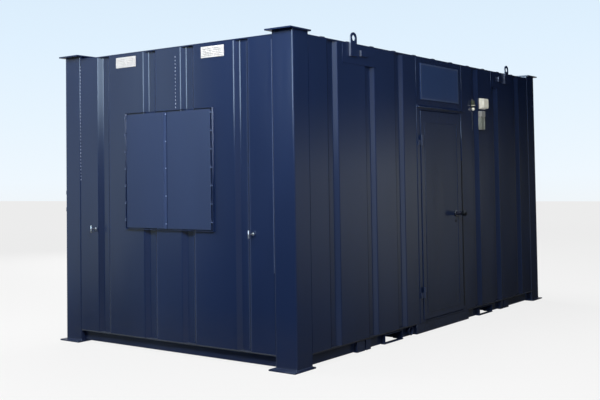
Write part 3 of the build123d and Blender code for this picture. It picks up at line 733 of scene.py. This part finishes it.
def round_bends(shape, out):
    """Rounds the upright folds between faces that look outwards."""
    folds = []
    for edge in shape.edges:
        along = (edge.verts[0].co - edge.verts[1].co).normalized()
        if len(edge.link_faces) == 2 and abs(along.z) > upright_share:
            facing = min(face.normal.dot(out) for face in edge.link_faces)
            if facing > outward_share and edge.calc_face_angle(0) > least_fold:
                folds.append(edge)
    round_edges(shape, folds, bend_reach, bend_steps)
    return len(folds)


for node, out in (
    ("front_wall_left", door_side),
    ("front_wall_right", door_side),
    ("rear_wall", rear_side),
    ("blind_end_wall", blind_end),
    ("window_wall_left", shuttered_end),
    ("window_wall_right", shuttered_end),
    ("window_wall_over", shuttered_end),
    ("window_wall_under", shuttered_end),
):
    shape = copy_solid(node)
    folds = round_bends(shape, Vector(out))
    print(node, "folds", folds)
    keep(shape, f"{node}_folded", wall_paint, replaced=[node])

# %% [markdown]
# ## Plates and bars with broken edges
# Cut plate and bar are ground before they're painted, and paint draws back from a sharp edge, so
# every edge shows a fine light line. Each plain solid is copied and all its sharp edges are
# bevelled by up to three millimetres. One loop does them all, since only the width, the finish
# and the body differ.

# %% Broken edges
least_turn = math.radians(35)
for node, width, finish, body in (
    ("cap_plates", 0.002, frame_paint, "cabin"),
    ("foot_plates", 0.002, frame_paint, "cabin"),
    ("door_frame", 0.003, frame_paint, "cabin"),
    ("door_apron", 0.0015, sheet_paint, "cabin"),
    ("canopy", 0.002, frame_paint, "cabin"),
    ("doublers", 0.0012, frame_paint, "cabin"),
    ("keeper_blocks", 0.002, lug_paint_lit_sides, "cabin"),
    ("lifting_eyes", 0.0015, lug_paint_lit_sides, "cabin"),
    ("pocket_straps", 0.0015, frame_paint, "cabin"),
    ("shutter_frame", 0.0025, shutter_frame_painted_highlight, "cabin"),
    ("post_lugs", 0.002, frame_paint, "cabin"),
    ("roof", 0.0025, sheet_paint, "cabin"),
    ("door_leaf", 0.003, frame_paint, "door"),
    ("door_overlay", 0.0008, door_paint, "door"),
):
    shape = copy_solid(node)
    closed = [edge for edge in shape.edges if len(edge.link_faces) == 2]
    round_edges(shape, [edge for edge in closed if edge.calc_face_angle(0) > least_turn], width)
    keep(shape, f"{node}_eased", finish, body, replaced=[node])

# %% [markdown]
# ## Corner posts
# Each post is a tube folded from thick sheet, so its upright corners are rounder than the plate
# edges. The near corner carries the brightest line of all. A cube stretched to the post's size
# has only its upright edges bevelled, in eight steps.

# %% Corner posts
post_round = 0.011
post_steps = 8
half = post_side / 2
shape = bmesh.new()
for side_x, side_y in post_corners:
    middle = Vector((side_x * (post_x - half), side_y * (post_y - half), 0))
    low, high = Vector((-half, -half, plate_top)), Vector((half, half, cap_under))
    verts = block(shape, middle + low, middle + high)
    upright = [edge for edge in edges_of(verts) if abs(edge.verts[0].co.z - edge.verts[1].co.z) > 1]
    round_edges(shape, upright, post_round, post_steps)
keep(shape, "corner_posts_folded", frame_paint, replaced=["corner_posts"])

# %% [markdown]
# ## Welds
# Plates meet the posts in a fillet weld, a small rippled bead. Thin sheet would warp under a full
# run, so on the shuttered end the seam and the edge by the far post are stitched with short tacks,
# and a run of sealant closes the edge by the near post. Tacks and sealant are painted paler than
# the navy, as a painted highlight for the light they catch. A bead is a hexagon swept along a line
# in small steps, with every other ring a little slimmer. A tack is a stretched icosphere with few
# faces, as there are many.

# %% Weld beads
weld_radius = 0.0045
weld_margin = 0.01


def bead(shape, start, end, radius, pitch=0.007):
    """Sweeps a rippled hexagon from start to end."""
    start, end = Vector(start), Vector(end)
    along = end - start
    steps = max(2, int(along.length / pitch))
    turn = along.to_track_quat("Z", "Y").to_matrix().to_4x4()
    place = Matrix.Translation(start) @ turn
    circle = bmesh.ops.create_circle(shape, cap_ends=True, segments=6, radius=radius, matrix=place)
    verts = circle["verts"]
    for step in range(steps):
        edges = [edge for edge in edges_of(verts) if all(vert in verts for vert in edge.verts)]
        grown = bmesh.ops.extrude_edge_only(shape, edges=edges)["geom"]
        verts = [item for item in grown if isinstance(item, bmesh.types.BMVert)]
        bmesh.ops.translate(shape, verts=verts, vec=along / steps)
        size = 0.8 if step % 2 == 0 else 1.25
        spot = Matrix.Translation(-(start + along * (step + 1) / steps))
        bmesh.ops.scale(shape, vec=(size, size, size), space=spot, verts=verts)
    bmesh.ops.contextual_create(shape, geom=verts)


shape = bmesh.new()
for side_x, side_y in post_corners:
    for level in (plate_top, cap_under):
        corner = Vector((side_x * post_x, side_y * post_y, level))
        for inwards in (Vector((-side_x, 0, 0)), Vector((0, -side_y, 0))):
            start = corner + inwards * (post_side - weld_margin)
            bead(shape, start, corner + inwards * weld_margin, weld_radius)
bmesh.ops.recalc_face_normals(shape, faces=shape.faces)
keep(shape, "post_welds", frame_paint)

# %% Tacks and sealant
# The tacks are painted pale: a painted highlight for the light their bumps catch.
tack_paint = navy_finish("tack_painted_highlight", linear(150, 162, 190), 0.2, 0.0, dust=0.0)
seam_y = -0.0895
shutter_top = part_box("shutter_frame")[1].z
run_top = eaves - 0.03
tack_pitch = 0.031
tack_size = Matrix.Diagonal((0.0036, 0.0042, 0.0085, 1))
seam_foot = Vector((-clad_x, seam_y, shutter_top + 0.02))
far_foot = Vector((-clad_x - 0.001, post_y - post_side - 0.001, 1.5))
shape = bmesh.new()
for foot in (seam_foot, far_foot):
    for step in range(int((run_top - foot.z) / tack_pitch)):
        place = Matrix.Translation(foot + Vector((0, 0, step * tack_pitch))) @ tack_size
        bmesh.ops.create_icosphere(shape, subdivisions=1, radius=1, matrix=place)
keep(shape, "seam_tacks", tack_paint)

# The sealant is painted paler than the navy: a painted highlight along the near post's edge.
sealant_painted_highlight = plastic_finish("seam_sealant_painted_highlight", linear(66, 80, 112), 0.4)
sealant_foot = Vector((-clad_x - 0.0008, -(post_y - post_side) + 0.001, 0.75))
sealant_radius, sealant_pitch = 0.0034, 0.014
shape = bmesh.new()
bead(shape, sealant_foot, (*sealant_foot.xy, run_top), sealant_radius, sealant_pitch)
bmesh.ops.recalc_face_normals(shape, faces=shape.faces)
keep(shape, "post_seam_run", sealant_painted_highlight)

# %% [markdown]
# ## Sill flashings
# The grooves would be open at the foot of the cladding, so a folded strip closes them and runs
# straight from post to post. Its edge is the fine line along the bottom of every wall. On the
# door side it stops at the apron. Each run is a slim box with its edges rounded.

# %% Sill flashings
sill_paint = navy_finish("sill_paint", linear(38, 43, 58), 0.35, 0.0, dust=0.3)
sill_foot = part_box("rear_wall")[0].z - 0.003
sill_head = sill_foot + 0.011
sill_out, sill_depth = 0.0015, 0.034
between_x, between_y = post_x - post_side, post_y - post_side
apron_low, apron_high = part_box("door_apron")
shape = bmesh.new()
for low, high in (
    ((-between_x, -clad_y - sill_out), (apron_low.x, -clad_y + sill_depth)),
    ((apron_high.x, -clad_y - sill_out), (between_x, -clad_y + sill_depth)),
    ((-between_x, clad_y - sill_depth), (between_x, clad_y + sill_out)),
    ((clad_x - sill_depth, -between_y), (clad_x + sill_out, between_y)),
    ((-clad_x - sill_out, -between_y), (-clad_x + sill_depth, between_y)),
):
    block(shape, (*low, sill_foot), (*high, sill_head), fine_edge)
keep(shape, "sill_flashings", sill_paint)

# %% [markdown]
# ## Sign panel and head trim
# Over the door hangs a sheet metal sign, left bare here but for the pale line round its rim. A
# folded trim runs up on each side of it, from the door frame to the eaves. The rim line is a flat
# ring: a grid of one face, inset, its middle deleted and the rest raised by under a millimetre.

# %% Sign panel
sign_low, sign_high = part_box("sign_panel")
sign_blue = navy_finish("sign_blue", linear(42, 66, 112), 0.3, 0.001, dust=0.0)
sign_line = plastic_finish("sign_line", linear(84, 97, 126), 0.45)
shape = copy_solid("sign_panel")
round_edges(shape, shape.edges, fine_edge)
keep(shape, "sign_panel_bare", sign_blue, replaced=["sign_panel"])
rim_inset, rim_band, rim_rise = 0.012, 0.009, 0.0007
sign_middle = (sign_low + sign_high) / 2
rim_size = sign_high - sign_low - Vector((rim_inset, 0, rim_inset))
sign_face = wall_place((sign_middle.x, sign_low.y, sign_middle.z), door_side)
shape = bmesh.new()
ring(shape, sign_face, rim_size.x, rim_size.z, rim_band, rim_rise)
keep(shape, "sign_rim_line", sign_line)

# %% Head trims
trim_width, trim_out = 0.012, 0.005
shape = bmesh.new()
for left in (frame_low.x - 0.001, frame_high.x + 0.001 - trim_width):
    low = (left, -clad_y - trim_out, frame_high.z)
    block(shape, low, (left + trim_width, -clad_y, eaves - 0.004), 0.002, 3)
keep(shape, "head_trims", frame_paint)

# %% [markdown]
# ## Louvred vents
# Two white vents sit high in the shuttered end. Each is a plate with a raised rim and two columns
# of blades that slope outwards and down, so rain can't drive in. A blade is a cube whose upper
# front edge is pushed back towards the plate, which makes a wedge.

# %% Vents
vent_low, vent_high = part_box("wall_vents")
vent_width = 0.25
vent_height = vent_high.z - vent_low.z
vent_border = 0.012
vent_plate = 0.004
vent_rim, vent_rim_rise = 0.007, 0.004
blade_count = 5
blade_under, blade_over = 0.005, 0.003
blade_push = 0.0075
blade_span = (vent_width - 3 * vent_border) / 2
pitch = (vent_height - 2 * vent_border) / blade_count
shape = bmesh.new()
for near in (vent_low.y, vent_high.y - vent_width):
    plate_low = Vector((-clad_x - vent_plate, near, vent_low.z))
    block(shape, plate_low, (-clad_x, near + vent_width, vent_high.z), 0.0015)
    rim = wall_place((plate_low.x, near + vent_width / 2, (vent_low.z + vent_high.z) / 2), shuttered_end)
    ring(shape, rim, vent_width - 0.004, vent_height - 0.004, vent_rim, vent_rim_rise)
    for column in range(2):
        left = near + vent_border + column * (blade_span + vent_border)
        for row in range(blade_count):
            foot = vent_low.z + vent_border + row * pitch
            blade_low = (vent_low.x, left, foot + blade_under)
            blade_high = (-clad_x - 0.003, left + blade_span, foot + pitch - blade_over)
            verts = block(shape, blade_low, blade_high)
            front_top = [v for v in verts if v.co.x < vent_low.x + 0.001 and v.co.z > foot + pitch / 2]
            bmesh.ops.translate(shape, verts=front_top, vec=(blade_push, 0, 0))
            round_edges(shape, edges_of(verts), 0.0006, 1)
keep(shape, "wall_vents_louvred", white_plastic, replaced=["wall_vents"])

# %% [markdown]
# ## Shutter fittings
# The left leaf's bowed strip is held by five round heads, paler than the navy as a painted
# highlight. A hold-back catch is a small
# painted plate, and a zinc stem with a collar that carries an upright bar with rounded ends.
# Heads, stems and bars are all turned shapes, so a profile is drawn and spun.

# %% Strip heads
dome = ((0, 0.0045), (0.003, 0.0042), (0.0055, 0.003), (0.0068, 0.0008))
strip_head = dome + ((0.0068, -0.002), (0, -0.002))
head_levels = (2.053, 1.819, 1.588, 1.350, 1.112)
head_out, head_y = 0.0225, 0.011
shape = bmesh.new()
for level in head_levels:
    turned(shape, strip_head, wall_place((-clad_x - head_out, head_y, level), shuttered_end), 14)
keep(shape, "strip_heads", head_paint, "shutter_left")

# %% Hold-back catches
catch_low, catch_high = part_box("shutter_catches")
catch_level = (catch_low.z + catch_high.z) / 2
catch_out = -catch_low.x - clad_x
catch_plate = 0.025
plate_thick = 0.004
bar_radius = 0.006
stem_end = catch_out - 0.008
collar = ((0, 0), (0.013, 0.004), (0.013, 0.008), (0.0085, 0.012), (bar_radius, 0.014))
stem = collar + ((bar_radius, stem_end), (0, stem_end))
bar_half = (catch_high.z - catch_low.z) / 2
bar_end = ((bar_radius, bar_half - 0.005), (0.0035, bar_half - 0.001), (0, bar_half))
bar = tuple((radius, -height) for radius, height in reversed(bar_end)) + bar_end
catch_spots = [Vector((-clad_x, side * (catch_high.y - catch_plate), catch_level)) for side in (-1, 1)]
shape = bmesh.new()
for spot in catch_spots:
    corner = Vector((0, catch_plate, catch_plate))
    block(shape, spot - corner - Vector((plate_thick, 0, 0)), spot + corner, 0.0015)
    for aside in (-0.018, 0.018):
        place = wall_place(spot + Vector((-plate_thick, aside, -aside)), shuttered_end)
        turned(shape, ((0, 0.0022), (0.0028, 0.0018), (0.0042, 0), (0, -0.001)), place, 10)
keep(shape, "catch_plates", frame_paint)
shape = bmesh.new()
for spot in catch_spots:
    turned(shape, stem, wall_place(spot, shuttered_end), 18)
    turned(shape, bar, Matrix.Translation(spot - Vector((catch_out - bar_radius, 0, 0))), 18)
keep(shape, "catch_stems_turned", zinc, replaced=["shutter_catches"])

# %% [markdown]
# ## Lamp, socket box and movement sensor
# Three small outdoor fittings stand to the right of the door. The lamp is a bulkhead: a back plate
# and a deep diffuser with soft edges. The socket box has a hinged cap over its upper part. The
# sensor is a small housing with a ball lens under it. Boxes with different edge widths make the
# housings, and the lens is turned.


# %% Lamp
def housing(shape, node, inset, foot, head, depth, soften, segments=4):
    """A box inside a fitting's outline: inset at the sides, between two shares of its height."""
    low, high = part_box(node)
    tall = high.z - low.z
    near = (low.x + inset, -clad_y - depth, low.z + foot * tall)
    return block(shape, near, (high.x - inset, -clad_y, low.z + head * tall), soften, segments)


def depth_of(node):
    return -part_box(node)[0].y - clad_y


shape = bmesh.new()
housing(shape, "lamp", 0.0, 0.0, 1.0, 0.014, 0.004, 2)
verts = housing(shape, "lamp", 0.005, 0.04, 0.96, depth_of("lamp"), 0.0)
front_edges = [edge for edge in edges_of(verts) if any(v.co.y < -clad_y - 0.02 for v in edge.verts)]
round_edges(shape, front_edges, 0.015, 5)
keep(shape, "lamp_bulkhead", cream_plastic_painted_glow, replaced=["lamp"])

# %% Socket box
socket_depth = depth_of("socket_box")
shape = bmesh.new()
housing(shape, "socket_box", 0.001, 0.0, 0.70, socket_depth - 0.004, 0.003, 3)
front = max((face for face in shape.faces if face.normal.y < -0.9), key=bmesh.types.BMFace.calc_area)
bmesh.ops.inset_individual(shape, faces=[front], thickness=0.008, depth=0)
bmesh.ops.inset_individual(shape, faces=[front], thickness=0.002, depth=-0.003)
keep(shape, "socket_box_body", grey_plastic, replaced=["socket_box"])

cap_grey = plastic_finish("socket_cap", linear(188, 189, 184), 0.4)
shape = bmesh.new()
housing(shape, "socket_box", 0.0, 0.705, 1.0, socket_depth, 0.004)
housing(shape, "socket_box", 0.028, 0.66, 0.72, socket_depth - 0.001, 0.003, 2)
keep(shape, "socket_box_cap", cap_grey)

# %% Sensor
sensor_low, sensor_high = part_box("sensor")
sensor_grey = plastic_finish("sensor_grey", linear(72, 77, 58), 0.5)
shape = bmesh.new()
housing(shape, "sensor", 0.002, 0.56, 1.0, depth_of("sensor") - 0.006, 0.006, 3)
housing(shape, "sensor", 0.012, 0.30, 0.60, 0.016, 0.004, 2)
keep(shape, "sensor_housing", sensor_grey, replaced=["sensor"])

lens_radius = 0.0165
lens_x = (sensor_low.x + sensor_high.x) / 2
lens_spot = (lens_x, sensor_low.y + lens_radius + 0.001, sensor_low.z + lens_radius + 0.003)
arc = [math.radians(angle) for angle in range(-90, 90, 15)]
lens = [(lens_radius * math.cos(turn), lens_radius * math.sin(turn)) for turn in arc]
shape = bmesh.new()
turned(shape, lens + [(0, lens_radius)], Matrix.Translation(lens_spot), 22)
collar_low = (sensor_low.x + 0.004, sensor_low.y + 0.002, sensor_low.z + 0.055)
block(shape, collar_low, (sensor_high.x - 0.004, -clad_y - 0.004, sensor_low.z + 0.062), 0.002)
keep(shape, "sensor_lens", cream_plastic_painted_glow)

# %% [markdown]
# ## Door details
# A dark strip, a painted shadow of the leaf, lies on the frame beside the lock edge up to shoulder
# height, with a folded stop over it up to the head. Under the rose a small round cover hides the
# keyhole. Rows of flush rivets
# hold the overlay sheet, and its lock edge and top edge are folded forward, which draws a fine
# line.

# %% Painted shadow strip and stop
shadow_strip_foot, shadow_strip_head = 0.17, 1.64
shadow_strip_out, stop_out = 0.003, 0.012
shadow_strip_near, shadow_strip_far = leaf_high.x + 0.007, leaf_high.x + 0.034
shadow_strip_back = frame_low.y + 0.001
shape = bmesh.new()
# The dark strip is a painted shadow that the leaf's lock edge casts on the frame.
block(shape, (shadow_strip_near, frame_low.y - shadow_strip_out, shadow_strip_foot), (shadow_strip_far, shadow_strip_back, shadow_strip_head), fine_edge)
keep(shape, "lock_side_painted_shadow", black_rubber_and_painted_shadow)
shape = bmesh.new()
block(shape, (shadow_strip_near, frame_low.y - stop_out, shadow_strip_head), (shadow_strip_far, shadow_strip_back, leaf_high.z), 0.003)
keep(shape, "lock_side_stop", frame_paint)

# %% Folded edge, keyhole cover and rivets
fold = 0.006
fold_front = overlay_low.y - 0.003
fold_back = overlay_low.y + 0.0005
fold_low = (overlay_high.x - fold, fold_front, overlay_low.z + 0.02)
shape = bmesh.new()
block(shape, fold_low, (overlay_high.x, fold_back, overlay_high.z), fine_edge)
fold_low = (overlay_low.x, fold_front, overlay_high.z - fold)
block(shape, fold_low, (overlay_high.x - fold, fold_back, overlay_high.z), fine_edge)
keep(shape, "overlay_edge_fold", frame_paint, "door")

rose_low, rose_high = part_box("lock_rose")
keyhole = wall_place(((rose_low.x + rose_high.x) / 2, overlay_low.y, rose_low.z - 0.045), door_side)
cover = ((0, 0.004), (0.009, 0.0035), (0.0125, 0.0015), (0.0125, -0.0005), (0, -0.0005))
shape = bmesh.new()
turned(shape, cover, keyhole, 24)
keep(shape, "keyhole_cover", black_plastic, "door")

rivet = ((0, 0.0012), (0.002, 0.001), (0.0036, 0), (0.0036, -0.0005), (0, -0.0005))
rivet_margin = 0.014
rivet_pitch = 0.3
rivet_reach = overlay_high.z - overlay_low.z - 2 * rivet_margin
rivet_gaps = round(rivet_reach / rivet_pitch)
shape = bmesh.new()
for column in (overlay_low.x + rivet_margin, overlay_high.x - rivet_margin):
    for row in range(rivet_gaps + 1):
        level = overlay_low.z + rivet_margin + row * rivet_reach / rivet_gaps
        turned(shape, rivet, wall_place((column, overlay_low.y, level), door_side), 10)
keep(shape, "overlay_rivets", door_paint, "door")

# %% [markdown]
# ## Pipe stub
# Under the front wall, left of the door, a short tube ends at the cladding's face: a way in for
# cables. It is one profile, out along the outside and back along the bore, spun once round.

# %% Pipe stub
stub_x, stub_level, stub_radius, stub_bore = -0.65, 0.064, 0.041, 0.035
stub_length, stub_chamfer = 0.038, 0.001
rail_face = clad_y - 0.04
stub = (
    (stub_bore, 0.0),
    (stub_radius, 0.0),
    (stub_radius, stub_length - stub_chamfer),
    (stub_radius - stub_chamfer, stub_length),
    (stub_bore + stub_chamfer, stub_length),
    (stub_bore, stub_length - stub_chamfer),
    (stub_bore, 0.0),
)
shape = bmesh.new()
turned(shape, stub, wall_place((stub_x, -rail_face, stub_level), door_side), 32)
keep(shape, "pipe_stub", frame_paint)

# %% [markdown]
# ## Window gaskets
# Each pane sits in a black gasket, seen when the shutters are open. It is the same flat ring as
# the sign's rim line, once on the outside and once on the inside of each pane.

# %% Gaskets
glass_low, glass_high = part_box("window_glass")
glass_size = glass_high - glass_low
bar_width = 0.045
gasket_band, gasket_rise = 0.008, 0.004
pane_width = (glass_size.y - bar_width) / 2
pane_middle = (glass_low.z + glass_high.z) / 2
shape = bmesh.new()
for side_y in (-1, 1):
    middle_y = side_y * (pane_width + bar_width) / 2
    for face_x, out in ((glass_low.x, shuttered_end), (glass_high.x, blind_end)):
        place = wall_place((face_x, middle_y, pane_middle), out)
        ring(shape, place, pane_width, glass_size.z, gasket_band, gasket_rise)
keep(shape, "window_gaskets", black_rubber_and_painted_shadow)
